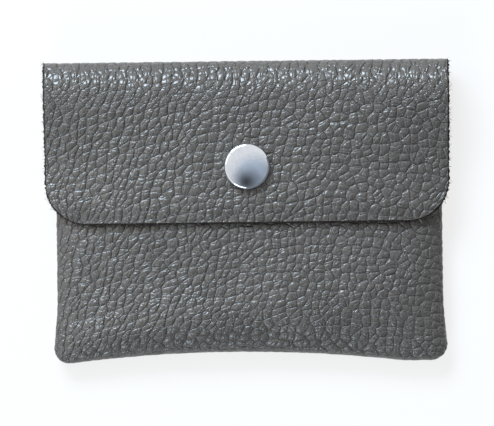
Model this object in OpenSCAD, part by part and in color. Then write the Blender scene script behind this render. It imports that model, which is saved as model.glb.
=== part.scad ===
// Small flap purse for coins and cards, in soft pebbled leather, closed by a sprung press stud.
// It lies on its back. X runs across it, Y runs up to the top fold, and Z is up, in millimetres.
// The origin is under the middle of the purse, on the table.

/* [Leather] */
// Thickness of the leather
leather_t = 1.2; // [1:0.1:1.4]
// Height of the closed purse, from the base corners to the top fold
purse_h = 83; // [78:1:95]
// Thickness of the closed purse, from the table to the face of the flap
purse_t = 13.2; // [12.8:0.1:15]
// Width of the flap, and of the back above the side seams
flap_w = 111; // [104:1:125]

/* [Pouch] */
// Width of the sewn pouch at its base corners
pouch_w = 108.8; // [100:0.1:122]
// Radius of the base corners
corner_r = 5; // [5:0.1:8]
// How far the puffed pouch draws each side in above the base corners
side_draw = 1.2; // [0:0.1:3]
// How far the puffed pouch draws up the middle of the base
base_draw = 2.9; // [0:0.1:5]
// Distance from the top fold down to the edge of the mouth
mouth_drop = 13; // [10:0.5:18]
// Width of the seam allowance that is turned inside
allowance_w = 4.4; // [3.4:0.1:4.4]
// Space between a turned allowance and the panel it is folded back on
turn_gap = 0.8; // [0.6:0.1:1]

/* [Flap] */
// Length of the flap in plan, from the top fold to its free edge
flap_len = 45; // [42:0.5:52]
// Radius of the flap's free corners
flap_corner_r = 11; // [6:0.5:14]
// How far the flap's side edges hang below its middle
flap_hang = 4.5; // [3.5:0.1:4.5]
// Air between the flap and the crown of the front
flap_air = 0.5; // [0.4:0.1:1]
// Gap at each crease of the top fold, where the leather bends
crease_gap = 0.3; // [0.2:0.05:0.5]

/* [Stitching] */
// Thickness of the sewing thread
thread_d = 0.4; // [0.3:0.05:0.5]
// Distance from one stitch to the next
stitch_pitch = 3.5; // [2.5:0.1:4.5]
// Distance from the pouch's edge in to the row of stitches
stitch_inset = 3.2; // [3:0.1:3.4]

/* [Press stud] */
// Distance from the top fold down to the axis of the press stud
stud_drop = 29.1; // [27:0.1:31]
// Diameter of the domed cap
cap_d = 12.5; // [12:0.1:13]
// Height of the cap above the leather it is set in
cap_h = 2.3; // [1.9:0.1:2.8]
// How far the cap is pulled down into the flap
cap_sink = 0.3; // [0:0.1:0.5]
// Diameter of the socket under the flap
socket_d = 11; // [10.4:0.1:11.6]
// Depth of the socket under the flap
socket_h = 3.2; // [3:0.1:3.3]
// Diameter of the socket's mouth
socket_bore = 6.4; // [6.2:0.1:6.6]
// Diameter of the spring wire
spring_d = 0.6; // [0.5:0.05:0.7]
// Diameter of the stud's flange
stud_d = 10.5; // [9.8:0.1:11]
// Diameter of the stud's head
head_d = 5.6; // [5.4:0.1:5.7]
// Diameter of the stud's neck
neck_d = 4.6; // [4.4:0.1:4.8]
// Diameter of the tube that rivets each half of the press stud
tube_d = 3.2; // [3:0.1:3.4]
// Thickness of the stamped sheet metal
metal_t = 0.4; // [0.35:0.05:0.45]
// Diameter of the reinforcing disc behind the stud
patch_d = 12; // [11:0.1:13]
// Thickness of the reinforcing disc
patch_t = 0.7; // [0.5:0.1:0.9]

/* [Hidden] */

leather_colour = [0.40, 0.39, 0.38];
suede_colour = [0.52, 0.49, 0.46];
thread_colour = [0.30, 0.29, 0.28];
steel_colour = [0.80, 0.80, 0.82];

// Clearance of pieces that are set or sewn together
seat_clear = 0.05;
// Smallest corner radius that an inset outline keeps
least_r = 0.6;
// Distance from the pouch's edge in to the root of the turned allowance
wall_inset = leather_t + 0.7;
// Width of the edge that the back rolls up to the seam
back_roll = 6;
// Power of the swell of the front, across and up the purse
swell_power = 2.5;
// Length over which the front falls to the base seam
base_fall = 34;
// Length over which the sides draw in above the base corners
draw_len = 18;
// Half of the width over which the base draws up, and where its middle is
base_draw_half = 47;
base_draw_x = -5;
// Power of the flap's hang towards its sides, and the length over which it begins
hang_power = 2.4;
hang_len = 25;
// Half of the flat square that each half of the press stud is set on
seat_half = 6.6;
// Radius of the flat around the press stud, and how far the leather takes to rise from it
seat_r = seat_half * 1.6;
front_seat_rise = 11.5;
flap_seat_rise = 6;

// Heights and lines of the purse
half_w = pouch_w / 2;
half_flap = flap_w / 2;
top_y = purse_h / 2;
base_y = -purse_h / 2;
mouth_y = top_y - mouth_drop;
fold_r = purse_t / 2;
fold_mid_r = fold_r - leather_t / 2;
fold_y = top_y - fold_r;
seam_z = 2 * leather_t + turn_gap;
crown_z = purse_t - leather_t - flap_air;
flap_end_y = top_y - flap_len;
stud_y = top_y - stud_drop;

// The bend is spread evenly, so each crease lies halfway round its quarter of the fold
crease_deg = 45;
crease_half_deg = crease_gap / 2 / fold_mid_r * 180 / PI;

// Heights of the press stud, from the cap down
cap_seat_z = purse_t - cap_sink;
socket_top_z = cap_seat_z - leather_t;
socket_low_z = socket_top_z - socket_h;
stud_flange_t = 0.5;
stud_run = 0.1;
stud_seat_z = socket_low_z - stud_run - stud_flange_t;
patch_top_z = stud_seat_z - leather_t;
post_top_z = patch_top_z - patch_t;

// Round shapes
$fn = 96;
corner_steps = 6;
arc_steps = 4;

// 0 below 0, 1 above 1 and smooth between
function ease(t) = let (c = min(1, max(0, t))) c * c * (3 - 2 * c);

function mix(a, b, t) = a + (b - a) * t;

// A line of n steps from a to b, both ends included
function line(a, b, n) = [for (k = [0:n]) mix(a, b, k / n)];

// The share of the corner radius at each step from the middle of a side to its corner
function corner_share(k) = sin(90 * k / corner_steps);

// A column is [where it stands or its corner starts, its signed share of the corner radius]
function columns(half, r, middle) = concat(
    [for (k = [corner_steps:-1:1]) [r - half, -corner_share(k)]],
    [for (x = middle) [x, 0]],
    [for (k = [1:corner_steps]) [half - r, corner_share(k)]]
);

// A row is [where it lies or its corner starts, its share of the corner radius]
function rows(base, r, rest) = concat(
    [for (k = [corner_steps:-1:1]) [base + r, corner_share(k)]],
    [for (y = rest) [y, 0]]
);

// Columns between the corners, close together around the press stud
function middle_columns(reach) = let (
    seat = [-seat_half, -seat_half / 2, 0, seat_half / 2, seat_half],
    near = 2 * seat_half
) concat(line(-reach, -near, 6), seat, line(near, reach, 6));

// A column and a row cross here, with the corner rounded to radius r
function plan(column, row, r) = [
    column[0] + r * column[1] * sqrt(1 - pow(row[1], 2) / 2),
    row[0] - r * row[1] * sqrt(1 - pow(column[1], 2) / 2)
];

// Half of the width of the back and front at height y
function half_at(y) = y <= mouth_y
    ? half_w - side_draw * ease((y - base_y) / draw_len)
    : mix(half_w - side_draw, half_flap, ease((y - mouth_y) / (fold_y - mouth_y)));

// How far the base is drawn up at x
function base_lift(x) = base_draw * (1 - pow(min(1, abs(x - base_draw_x) / base_draw_half), 2));

// The outline of the flat pouch as its puffed sides and base draw it in
function drawn(p) = let (up = min(1, max(0, (p.y - base_y) / (mouth_y - base_y)))) [
    p.x * half_at(p.y) / half_w,
    p.y + base_lift(p.x) * pow(1 - up, 2)
];

// How near p is to the press stud: 1 on its seat and 0 past the rise around it
function seat_share(p, rise) = 1 - ease((norm([p.x, p.y - stud_y]) - seat_r) / rise);

function swell(t) = sqrt(max(0, 1 - pow(t, swell_power)));

// The front's height, from edge_z at the pouch's edge to top_z at its crown
function front_z(column, row, r, edge_z, top_z) = let (
    across = abs(column[0] + r * column[1]) / (half_w - corner_r + r),
    fall_y = base_y + base_fall,
    down = max(0, fall_y - (row[0] - r * row[1])) / (fall_y - (base_y + corner_r - r))
) mix(edge_z, top_z, swell(across) * swell(down));

// One face of the front panel
function front_face(r, edge_z, top_z, seat_z) = [
    for (row = pouch_rows) [
        for (column = pouch_columns) let (
            p = drawn(plan(column, row, r)),
            z = front_z(column, row, r, edge_z, top_z)
        ) [p.x, p.y, mix(z, seat_z, seat_share(p, front_seat_rise))]
    ]
];

function roll(t) = sqrt(1 - pow(max(0, min(1, t)), 2));

// The back's height, from flat_z over the table to edge_z at the pouch's edge
function back_z(column, row, r, flat_z, edge_z) = let (
    width = back_roll - corner_r + r,
    side_gap = half_w - corner_r + r - abs(column[0] + r * column[1]),
    base_gap = row[0] - r * row[1] - (base_y + corner_r - r)
) mix(edge_z, flat_z, roll(1 - side_gap / width) * roll(1 - base_gap / width));

// How much of the pouch's rolled edge is left at height y, above the seams
function rolled_at(y) = y <= mouth_y ? 1 : 1 - ease((y - mouth_y) / (fold_y - mouth_y));

// One face of the back panel, inset at its edge, with the part of the top fold that it keeps
function back_face(inset, flat_z, edge_z) = concat(
    [for (row = back_rows) [
        for (column = pouch_columns) let (
            left = rolled_at(row[0]),
            r = corner_r - inset * left,
            p = drawn(plan(column, row, r))
        ) [p.x, p.y, back_z(column, row, r, flat_z, mix(flat_z, edge_z, left))]
    ]],
    [for (k = [1:arc_steps]) [
        for (column = pouch_columns) let (x = column[0] + corner_r * column[1])
            fold_point(x * half_flap / half_w, flat_z, (crease_deg - crease_half_deg) * k / arc_steps)
    ]]
);

// A point of the top fold: at x, depth inside its outer face, turned by angle from the back
function fold_point(x, depth, angle) = [
    x,
    fold_y + (fold_r - depth) * sin(angle),
    fold_r - (fold_r - depth) * cos(angle)
];

// The flap's height over the purse, before the fold and the seat of the cap
function flap_z(p) = purse_t
    - flap_hang * pow(abs(p.x) / half_flap, hang_power) * ease((fold_y - p.y) / hang_len);

// One face of the flap, depth inside its outer face, with the part of the top fold that it keeps
function flap_face(depth) = concat(
    [for (row = flap_rows) [
        for (column = flap_columns) let (
            p = plan(column, row, flap_corner_r),
            z = mix(flap_z(p), cap_seat_z, seat_share(p, flap_seat_rise))
        ) [p.x, p.y, z - depth]
    ]],
    [for (k = [1:arc_steps]) [
        for (column = flap_columns)
            fold_point(column[0] + flap_corner_r * column[1], depth,
                180 - (crease_deg - crease_half_deg) * k / arc_steps)
    ]]
);

pouch_columns = columns(half_w, corner_r, middle_columns(half_w - corner_r));
pouch_rows = rows(base_y, corner_r, concat(
    line(base_y + corner_r, stud_y - 2 * seat_half, 6),
    [for (k = [-1:0.5:1]) stud_y + k * seat_half],
    line(stud_y + 1.6 * seat_half, mouth_y, 1)
));
back_rows = concat(pouch_rows, [for (y = line(mouth_y, fold_y, 4)) if (y > mouth_y) [y, 0]]);
flap_columns = columns(half_flap, flap_corner_r, middle_columns(half_flap - flap_corner_r));
flap_rows = rows(flap_end_y, flap_corner_r, concat(
    [flap_end_y + flap_corner_r],
    [for (k = [0:0.5:1]) stud_y + k * seat_half],
    line(stud_y + 1.6 * seat_half, fold_y, 3)
));

// The grid's sides and base in turn, from its top left corner round to its top right one
function rim(grid) = let (m = len(grid) - 1, n = len(grid[0]) - 1) concat(
    [for (j = [m:-1:0]) grid[j][0]],
    [for (i = [1:n]) grid[0][i]],
    [for (j = [1:m]) grid[j][n]]
);

function joined(lists) = [for (list = lists) for (item = list) item];

// Two triangles over four corners, named clockwise as seen from outside
function patch(a, b, c, d) = [[a, b, c], [a, c, d]];

// A closed sheet between an upper and a lower grid of points. Each ring is a line of points
// round its sides and base, between the two, and the last row of the grids is closed flat.
module sheet(upper, lower, rings = []) {
    m = len(upper) - 1;
    n = len(upper[0]) - 1;
    size = (m + 1) * (n + 1);
    edge_n = 2 * m + n;
    numbers = [for (j = [0:m]) [for (i = [0:n]) j * (n + 1) + i]];
    up = numbers;
    low = [for (line_j = numbers) [for (k = line_j) k + size]];
    loops = concat(
        [rim(up)],
        [for (r = [0:1:len(rings) - 1]) [for (k = [0:edge_n]) 2 * size + r * (edge_n + 1) + k]],
        [rim(low)]
    );
    depth = len(loops) - 1;
    faces = concat(
        joined([for (j = [0:m - 1], i = [0:n - 1])
            patch(up[j][i], up[j + 1][i], up[j + 1][i + 1], up[j][i + 1])]),
        joined([for (j = [0:m - 1], i = [0:n - 1])
            patch(low[j][i], low[j][i + 1], low[j + 1][i + 1], low[j + 1][i])]),
        joined([for (d = [0:depth - 1], k = [0:edge_n - 1])
            patch(loops[d][k], loops[d][k + 1], loops[d + 1][k + 1], loops[d + 1][k])]),
        joined([for (i = [0:n - 1]) patch(up[m][i + 1], up[m][i], low[m][i], low[m][i + 1])]),
        len(rings) == 0 ? [] : [
            [for (d = [0:depth]) loops[d][0]],
            [for (d = [depth:-1:0]) loops[d][edge_n]]
        ]
    );
    polyhedron(points = concat(joined(upper), joined(lower), joined(rings)), faces = faces, convexity = 8);
}

// A line round the pouch's sides and base, inset from its edge, at height z
function pouch_ring(inset, z) = let (
    grid = [for (row = pouch_rows) [for (column = pouch_columns) [column, row]]]
) [for (cross = rim(grid)) let (
    p = drawn(plan(cross[0], cross[1], max(least_r, corner_r - inset)))
) [p.x, p.y, z]];

// The same line for the back, which has no allowance above the seams: there it follows the cut edge
function back_ring(z, share, inner, outer) = let (
    ring = pouch_ring(allowance_w, z),
    a = rim(inner),
    b = rim(outer),
    extra = (len(a) - len(ring)) / 2
) [for (k = [0:len(a) - 1])
    k >= extra && k < len(a) - extra ? ring[k - extra] : mix(a[k], b[k], share)
];

// The hole that a riveted tube passes through
module tube_hole(d) {
    translate([0, stud_y, 0])
        cylinder(h = 2 * purse_t, d = d + 2 * seat_clear);
}

module front_panel() {
    color(leather_colour) difference() {
        sheet(
            front_face(corner_r, seam_z, crown_z, stud_seat_z),
            front_face(corner_r - wall_inset, seam_z + leather_t, crown_z - leather_t,
                stud_seat_z - leather_t),
            [pouch_ring(allowance_w, seam_z), pouch_ring(allowance_w, seam_z + leather_t)]
        );
        tube_hole(tube_d);
    }
}

module back_panel() {
    inner = back_face(wall_inset, leather_t, seam_z - leather_t);
    outer = back_face(0, 0, seam_z);
    color(leather_colour) sheet(inner, outer, [
        back_ring(seam_z - leather_t, 1 / 3, inner, outer),
        back_ring(seam_z, 2 / 3, inner, outer)
    ]);
}

module flap_panel() {
    color(leather_colour) difference() {
        sheet(flap_face(0), flap_face(leather_t));
        tube_hole(tube_d);
    }
}

// The strip of leather between the two creases of the top fold
module top_fold() {
    first = crease_deg + crease_half_deg;
    color(leather_colour) translate([0, fold_y, fold_r]) rotate([0, 90, 0]) rotate([0, 0, first])
        rotate_extrude(angle = 180 - 2 * first)
            translate([fold_r - leather_t, -half_flap]) square([leather_t, flap_w]);
}

// Points along the row of stitches, one stitch apart, down one side, along the base and up the other
function stitch_line() = let (
    ring = pouch_ring(stitch_inset, 0),
    run = [for (k = 0, s = 0; k < len(ring); k = k + 1,
        s = s + (k < len(ring) ? norm(ring[k] - ring[k - 1]) : 0)) s],
    count = floor(run[len(run) - 1] / stitch_pitch)
) [for (i = [1:count - 1]) let (
    s = i * run[len(run) - 1] / count,
    k = len([for (a = run) if (a <= s) a]) - 1,
    t = (s - run[k]) / (run[k + 1] - run[k])
) mix(ring[k], ring[k + 1], t)];

// A row of stitches that lies on the face of an allowance, with its axis at height z
module stitches(z) {
    points = stitch_line();
    color(thread_colour) for (k = [0:len(points) - 2]) {
        along = points[k + 1] - points[k];
        stitch_len = norm(along) * 0.75;
        translate([points[k].x, points[k].y, z]) rotate([0, 0, atan2(along.y, along.x)])
            rotate([0, 90, 0]) cylinder(h = stitch_len, d = thread_d, $fn = 16);
    }
}

module needle_thread() {
    stitches(seam_z + leather_t + thread_d / 2);
}

module bobbin_thread() {
    stitches(seam_z - leather_t - thread_d / 2);
}

// Places a piece of the press stud on its axis, at height z
module on_stud_axis(z) {
    translate([0, stud_y, z]) children();
}

// Sizes of the cap: its rolled rim, the groove in it and the dome between the rim's middles
rim_r = 0.6;
dome_low = 0.9;
dome_half = cap_d / 2 - rim_r;
dome_rise = cap_h - dome_low;
dome_r = (pow(dome_half, 2) + pow(dome_rise, 2)) / (2 * dome_rise);
cap_lip_r = cap_d / 2 - 2 * rim_r;
cap_base_r = cap_d / 2 - rim_r;
cap_base_z = metal_t + seat_clear;

// The domed shell, rolled round the edge of the post's base
module snap_cap() {
    color(steel_colour) on_stud_axis(cap_seat_z) rotate_extrude() difference() {
        union() {
            intersection() {
                translate([0, cap_h - dome_r]) difference() {
                    circle(r = dome_r);
                    circle(r = dome_r - metal_t);
                }
                translate([0, dome_low - metal_t]) square([dome_half, cap_h]);
            }
            translate([dome_half, rim_r]) circle(r = rim_r);
            translate([cap_lip_r, 0]) square([rim_r, metal_t]);
        }
        translate([cap_lip_r - metal_t, metal_t])
            square([cap_base_r + metal_t + seat_clear - cap_lip_r, metal_t + 2 * seat_clear]);
    }
}

// A riveted tube with its end rolled outwards, hanging from z = 0
module riveted_tube(length, flare_r) {
    rotate_extrude() {
        translate([tube_d / 2 - metal_t, -length]) square([metal_t, length]);
        translate([tube_d / 2 - metal_t / 2, -length]) square([flare_r - tube_d / 2, metal_t]);
        translate([flare_r - metal_t / 2, -length + metal_t / 2]) circle(d = metal_t);
    }
}

// The plate inside the cap, with the tube that passes through the flap
module cap_post() {
    flare_r = tube_d / 2 + 2 * metal_t;
    tube_len = cap_base_z + leather_t + 2 * metal_t;
    color(steel_colour) on_stud_axis(cap_seat_z + cap_base_z) {
        rotate_extrude() translate([tube_d / 2 - metal_t, 0])
            square([cap_base_r - tube_d / 2 + metal_t, metal_t]);
        riveted_tube(tube_len, flare_r);
    }
}

// Heights of the socket's inner lip and of the wire that lies on it
lip_h = 0.55;
wire_z = lip_h + spring_d / 2 + seat_clear;

// The stamped ring under the flap, with a channel for the spring round its mouth
module snap_socket() {
    color(steel_colour) on_stud_axis(socket_low_z) rotate_extrude() {
        translate([tube_d / 2 + seat_clear, socket_h - metal_t])
            square([socket_d / 2 - tube_d / 2 - metal_t - seat_clear, metal_t]);
        translate([socket_d / 2 - metal_t, metal_t]) square([metal_t, socket_h - 2 * metal_t]);
        for (z = [metal_t, socket_h - metal_t])
            translate([socket_d / 2 - metal_t, z]) intersection() {
                circle(r = metal_t);
                translate([0, z > metal_t ? 0 : -metal_t]) square(metal_t);
            }
        translate([socket_bore / 2 + metal_t / 2, 0])
            square([socket_d / 2 - socket_bore / 2 - 1.5 * metal_t, metal_t]);
        translate([socket_bore / 2, metal_t / 2]) square([metal_t, lip_h - metal_t / 2]);
        translate([socket_bore / 2 + metal_t / 2, metal_t / 2]) circle(d = metal_t);
    }
}

// The wire spring, a hairpin: two legs that grip the neck of the stud, joined by a half turn
module socket_spring() {
    leg_x = neck_d / 2 + spring_d / 2 + seat_clear;
    reach = socket_d / 2 - metal_t - spring_d / 2 - 2 * seat_clear;
    leg_end = sqrt(pow(reach, 2) - pow(leg_x, 2));
    bow_y = reach - leg_x;
    color(steel_colour) on_stud_axis(socket_low_z + wire_z) {
        for (side = [-1, 1])
            translate([side * leg_x, bow_y, 0]) rotate([90, 0, 0])
                cylinder(h = bow_y + leg_end, d = spring_d, $fn = 24);
        translate([0, bow_y, 0]) rotate_extrude(angle = 180)
            translate([leg_x, 0]) circle(d = spring_d, $fn = 24);
    }
}

// Height of the stud above its flange, which ends under the rolled end of the cap's tube
stud_h = socket_h + stud_run - 2 * metal_t - 0.2;
countersink = metal_t + seat_clear;

// The male half on the front, with a narrow neck and a round head
module snap_stud() {
    head_r = head_d / 2;
    flange_edge = stud_flange_t / 2;
    bead = 0.5;
    color(steel_colour) on_stud_axis(stud_seat_z) rotate_extrude() difference() {
        union() {
            square([stud_d / 2 - flange_edge, stud_flange_t]);
            translate([stud_d / 2 - flange_edge, flange_edge]) circle(r = flange_edge);
            square([neck_d / 2, stud_flange_t + stud_h - bead]);
            translate([0, stud_flange_t + stud_h - 2 * bead]) square([head_r - bead, 2 * bead]);
            translate([head_r - bead, stud_flange_t + stud_h - bead]) circle(r = bead);
        }
        translate([-head_d, -1]) square([head_d + tube_d / 2 + seat_clear, 2 * stud_h]);
        translate([-head_d, stud_flange_t + stud_h - countersink])
            square([head_d + tube_d / 2 + metal_t + 2 * seat_clear, 2 * countersink]);
    }
}

// The rivet inside the pouch: a domed flange, with a tube rolled over in the head of the stud
module stud_post() {
    rise = stud_seat_z + stud_flange_t + stud_h - post_top_z;
    flange_r = stud_d / 2 - 0.25;
    color(steel_colour) on_stud_axis(post_top_z) {
        rotate_extrude() {
            translate([tube_d / 2 - metal_t, -metal_t])
                square([flange_r - tube_d / 2 + metal_t / 2, metal_t]);
            translate([flange_r - metal_t / 2, -metal_t / 2]) circle(d = metal_t);
        }
        translate([0, 0, 0]) rotate([180, 0, 0])
            riveted_tube(rise, tube_d / 2 + metal_t);
    }
}

// The disc that spreads the pull of the stud over the soft leather
module stud_patch() {
    color(suede_colour) on_stud_axis(post_top_z) difference() {
        cylinder(h = patch_t, d = patch_d);
        translate([0, 0, -patch_t]) cylinder(h = 3 * patch_t, d = tube_d + 2 * seat_clear);
    }
}

back_panel();
top_fold();
flap_panel();
front_panel();
needle_thread();
bobbin_thread();
snap_cap();
cap_post();
snap_socket();
socket_spring();
snap_stud();
stud_post();
stud_patch();
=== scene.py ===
# %% [markdown]
# # A small flap purse in pebbled leather
#
# The purse is a flat, sewn pouch with a flap that folds over from behind. One domed press stud
# holds it shut. The frame that loads below has every piece at its real size, and rigid.
# Here the leather gets its soft form and its grain, and the metal its plating.

import math

import bpy
import numpy as np
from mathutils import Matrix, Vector


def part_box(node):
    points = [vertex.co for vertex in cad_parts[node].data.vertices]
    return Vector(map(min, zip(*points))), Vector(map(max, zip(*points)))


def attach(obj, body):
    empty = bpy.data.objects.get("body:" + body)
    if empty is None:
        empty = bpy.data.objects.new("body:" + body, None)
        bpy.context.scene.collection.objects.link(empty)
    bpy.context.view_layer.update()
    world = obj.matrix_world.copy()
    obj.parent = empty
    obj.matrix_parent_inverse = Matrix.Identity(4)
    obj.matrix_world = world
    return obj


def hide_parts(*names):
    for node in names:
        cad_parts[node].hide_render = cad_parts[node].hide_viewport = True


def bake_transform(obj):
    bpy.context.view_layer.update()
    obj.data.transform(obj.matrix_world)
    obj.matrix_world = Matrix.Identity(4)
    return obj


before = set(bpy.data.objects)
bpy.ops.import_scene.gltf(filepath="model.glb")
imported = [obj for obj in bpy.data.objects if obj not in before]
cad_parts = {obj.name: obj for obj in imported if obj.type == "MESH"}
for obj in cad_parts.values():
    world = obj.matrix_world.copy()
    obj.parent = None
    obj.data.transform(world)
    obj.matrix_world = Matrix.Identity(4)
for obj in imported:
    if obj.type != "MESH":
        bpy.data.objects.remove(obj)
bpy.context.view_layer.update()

# %% [markdown]
# ## Sizes
#
# All lengths are in millimetres until a mesh is made, because a purse is thought of in them.
# What the frame holds is read from it. The rest are the leather's own sizes.

# %% Sizes
MM = 0.001


def frame_box(node):
    """The lowest and highest corner of a node of the frame, in millimetres."""
    low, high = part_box(node)
    return np.array(low) / MM, np.array(high) / MM


flap_low, flap_high = frame_box("flap_panel")
front_low, front_high = frame_box("front_panel")
cap_low, cap_high = frame_box("snap_cap")
stud_low, stud_high = frame_box("snap_stud")
fold_low, fold_high = frame_box("top_fold")

leather_t = 1.2
# How far the fibres of a cut edge stand out past the rim of its grain
edge_bevel = 0.38
half_flap = flap_high[0] - edge_bevel
flap_end_y = flap_low[1] + 2 * edge_bevel
flap_corner_r = 11.0
flap_hang = 4.5

purse_t = flap_high[2]
top_y = fold_high[1]
base_y = -top_y
fold_r = purse_t / 2
fold_y = top_y - fold_r

half_pouch = 54.4
pouch_corner_r = 5.0
mouth_y = front_high[1]
crown_z = front_high[2]
back_roll = 6.0
seam_z = front_low[2]
# The strips beyond the seam that are turned inside, and how far each keeps from the seam's middle
allowance_w = 4.4
seam_gap = 0.02

stud_y = (cap_low[1] + cap_high[1]) / 2
stud_seat_z = stud_low[2]
cap_seat_z = cap_low[2]
purse_size = (2 * flap_high[0], top_y - base_y, cap_high[2])
print("purse", " x ".join(str(round(side, 1)) for side in purse_size), "mm")

# %% [markdown]
# ## Shapes as arrays
#
# Each leather face is a grid of points that follows a formula. `ease` is the smooth step that
# blends one shape into another. `equal_steps` spreads a grid's lines evenly along a curve, so
# that the grain is as fine on a steep edge as on the flat.

# %% Blends and even steps
def ease(t):
    """0 below 0, 1 above 1 and smooth between."""
    c = np.clip(t, 0, 1)
    return c * c * (3 - 2 * c)


def mix(a, b, t):
    return a + (b - a) * t


def run_along(x, z):
    """The length run at each point of the curve (x, z)."""
    return np.concatenate([[0], np.cumsum(np.hypot(np.diff(x), np.diff(z)))])


def equal_steps(x, z, count):
    """Values of x at equal steps along the curve (x, z), and the length run at each."""
    run = run_along(x, z)
    steps = np.linspace(0, run[-1], count + 1)
    return np.interp(steps, run, x), steps


def waves(x, y, lengths, seed):
    """A soft, uneven swell between about -1 and 1: a few crossing waves of the given lengths."""
    draw = np.random.default_rng(seed)
    total = 0
    for length in lengths:
        turn, phase = draw.uniform(0, 2 * math.pi, 2)
        across = x * math.cos(turn) + y * math.sin(turn)
        total = total + np.sin(across * 2 * math.pi / length + phase)
    return total / len(lengths)


# %% [markdown]
# ## The outline of the pouch
#
# The pouch is a flat rectangle with rounded corners until something fills it. Then its sides and
# base draw in, because the leather that bulges has to come from somewhere. A square grid is
# bent round each corner, so that no cut is needed there.

# %% The outline
# How far the sides draw in, and over what height
side_draw = 1.2
draw_len = 18.0
# How far the base draws in, half of the width that does, and its middle
base_draw = 2.9
base_draw_half = 47.0
base_draw_x = -5.0
# How far the seams set the pouch off the flap's middle
pouch_shift = 0.5


def rounded(across, along, half, base, corner, r):
    """Bends a flat grid round the two base corners. r is the radius that its edge gets there."""
    x_in = np.clip(across, corner - half, half - corner)
    y_in = np.maximum(along, base + corner)
    sx = (across - x_in) / corner
    sy = (y_in - along) / corner
    return x_in + r * sx * np.sqrt(1 - sy**2 / 2), y_in - r * sy * np.sqrt(1 - sx**2 / 2)


def above_mouth(y):
    """0 up to the mouth, 1 at the fold and smooth between."""
    return ease((y - mouth_y) / (fold_y - mouth_y))


def half_at(y):
    """Half of the width of the back and front at height y."""
    sewn = half_pouch - side_draw * ease((y - base_y) / draw_len)
    open_side = mix(half_pouch - side_draw, half_flap, above_mouth(y))
    return np.where(y <= mouth_y, sewn, open_side)


def drawn(x, y):
    """Draws the flat outline in, and sets the pouch off the flap's middle."""
    up = np.clip((y - base_y) / (mouth_y - base_y), 0, 1)
    lift = base_draw * (1 - np.minimum(1, np.abs(x - base_draw_x) / base_draw_half) ** 2)
    shift = pouch_shift * (1 - above_mouth(y))
    return x * half_at(y) / half_pouch + shift, y + lift * (1 - up) ** 2


# %% [markdown]
# ## The faces of the leather
#
# The front swells from the seam to its crown, with a dimple where the stud pulls it in.
# The back lies on the table and rolls up to the seam. The flap comes out of the fold, hangs at
# its sides and is drawn down under the cap. A cloth simulation could fill the pouch. Formulas
# were chosen, because they keep the grid even, as the fine grain needs, and give the same shape
# at each run. Each function gives points for the grain side, or for the flesh side.

# %% The press stud's seats
seat_r = 10.5
front_seat_r = 6.4
front_seat_rise = 11.1
flap_seat_rise = 6.0


def seat_share(x, y, r, rise):
    """1 on a round seat of the press stud and 0 past the rise round it."""
    return 1 - ease((np.hypot(x, y - stud_y) - r) / rise)


# %% The front's face
# Height of the small round where each turned edge meets the seam, and how far in the flesh lies
edge_roll = 0.5
wall_inset = 1.9
swell_power = 2.5
base_fall = 34.0
front_wave = 0.35
# The slack fold: the point where its line bends, its slopes to the left and right of that, its
# widths above and below the line, and its heights at the left and at the right
slack_bend = (-22, -26)
slack_slopes = (0.28, 0.16)
slack_widths = (10, 7)
slack_heights = (1.0, 0.35)


def swell(t):
    return np.sqrt(np.maximum(0, 1 - t**swell_power))


def front_relief(x, y):
    """What use has done to the front: a slack fold that runs from the left corner to the right,
    hollow above and full below, and soft waves."""
    sides = np.clip(1 - (np.abs(x) / half_pouch) ** 4, 0, 1)
    base = np.clip((y - base_y - base_draw) / 6, 0, 1)
    line = slack_bend[1] + np.where(x < slack_bend[0], *slack_slopes) * (x - slack_bend[0])
    off = (y - line) / np.where(y > line, *slack_widths)
    slack = mix(*slack_heights, ease((x + 20) / 55)) * off * np.exp((1 - off**2) / 2)
    return sides * base * (front_wave * waves(x, y, [34, 27, 19], 11) - slack)


def fuller(a, b):
    """Joins two falls at a corner. It stays fuller there than their product would."""
    floor = 1e-3
    return (np.maximum(a, floor) ** -3 + np.maximum(b, floor) ** -3 - 1) ** (-1 / 3)


def front_height(plan_x, plan_y, x, y):
    """Height of the grain side over a point of the square plan, which lies at (x, y) once it is
    drawn in."""
    side = np.abs(plan_x) / half_pouch
    fall = np.maximum(0, base_y + base_fall - plan_y) / base_fall
    z = mix(seam_z + edge_roll, crown_z, fuller(swell(side), swell(fall)))
    z = z + front_relief(x, y) * (1 - seat_share(x, y, seat_r, 3))
    return mix(z, stud_seat_z, seat_share(x, y, front_seat_r, front_seat_rise))


def pouch_plan(across, along, inset):
    """A square grid, bent round the pouch's corners. At its edge the leather's wall is inset."""
    return rounded(across, along, half_pouch, base_y, pouch_corner_r, pouch_corner_r - inset)


def front_face(across, along, flesh=False):
    """The grain side of the front, or its flesh side, which lies a leather's thickness below."""
    plan_x, plan_y = pouch_plan(across, along, wall_inset if flesh else 0.0)
    x, y = drawn(plan_x, plan_y)
    if not flesh:
        return np.stack([x, y, front_height(across, along, x, y)], -1)
    z = front_height(plan_x, plan_y, x, y) - leather_t
    return np.stack([x, y, np.maximum(z, seam_z + leather_t + seam_gap)], -1)


# %% The back's face
def roll(t):
    return np.sqrt(1 - np.clip(t, 0, 1) ** 2)


def rolled_at(y):
    """How much of the pouch's rolled edge is left at height y, above the seams."""
    return 1 - above_mouth(y)


def back_height(x, y):
    """Height of the grain side of the back: on the table, and up to the seam at its edges."""
    side = roll(1 - (half_pouch - np.abs(x)) / back_roll)
    base = roll(1 - (y - base_y) / back_roll)
    return mix((seam_z - edge_roll) * rolled_at(y), 0, fuller(side, base))


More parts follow.
